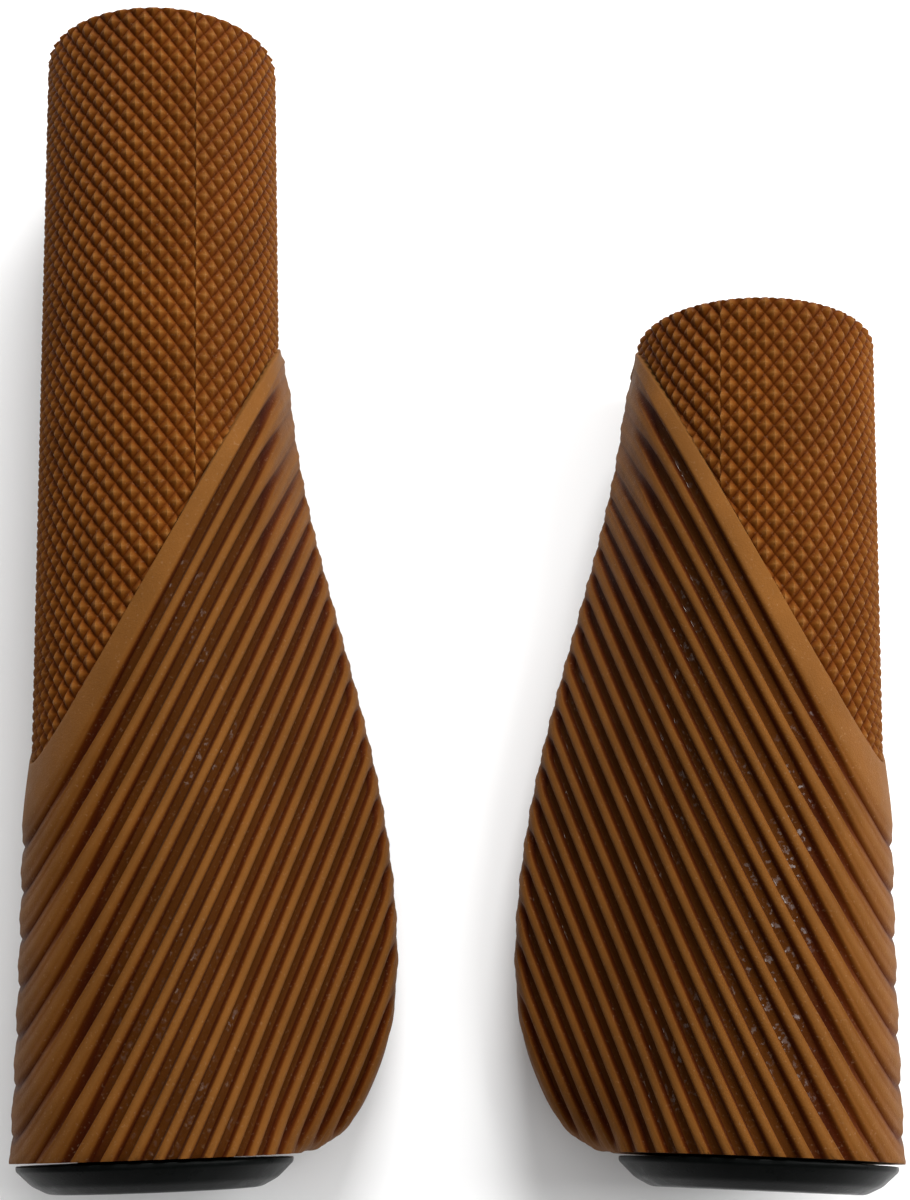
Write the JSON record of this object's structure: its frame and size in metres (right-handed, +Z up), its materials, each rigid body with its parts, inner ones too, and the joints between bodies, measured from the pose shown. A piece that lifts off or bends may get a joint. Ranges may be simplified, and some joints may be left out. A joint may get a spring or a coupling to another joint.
{
  "type": "pair of bicycle handlebar grips",
  "caption": "Pair of ergonomic rubber bicycle grips, one long and one short, each with a knurled barrel, a ribbed wing-shaped palm rest and a black end plug.",
  "frame": {"origin": "middle of the footprint of the pair as it lies on a flat surface, at the height of that surface", "axes": "+Z up, the bar ends of both grips towards -Y, the long left-hand grip on the -X side and the short right-hand grip on the +X side"},
  "size_m": [0.1016, 0.1366, 0.0327],
  "materials": {
    "core_plastic": "moulded matt black",
    "knurled_rubber": "matt brown rubber with a fine diamond knurl",
    "ribbed_rubber": "matt brown rubber, ribbed, with smoother groove floors",
    "plug_plastic": "black, half gloss"
  },
  "bodies": {
    "left_grip": {"left_core": "core_plastic", "left_knurled_sleeve": "knurled_rubber", "left_palm_rest": "ribbed_rubber"},
    "left_plug": {"left_end_plug": "plug_plastic"},
    "right_grip": {"right_core": "core_plastic", "right_knurled_sleeve": "knurled_rubber", "right_palm_rest": "ribbed_rubber"},
    "right_plug": {"right_end_plug": "plug_plastic"}
  },
  "joints": [
    {"name": "left_plug_pull", "type": "slide", "parent": "left_grip", "child": "left_plug", "axis": [0.0349, -0.9994, 0], "range_m": [0, 0.03]},
    {"name": "right_grip_lift", "type": "slide", "parent": "left_grip", "child": "right_grip", "axis": [0, 0, 1], "range_m": [0, 0.15]},
    {"name": "right_plug_pull", "type": "slide", "parent": "right_grip", "child": "right_plug", "axis": [-0.0419, -0.9988, 0.0262], "range_m": [0, 0.03]}
  ]
}
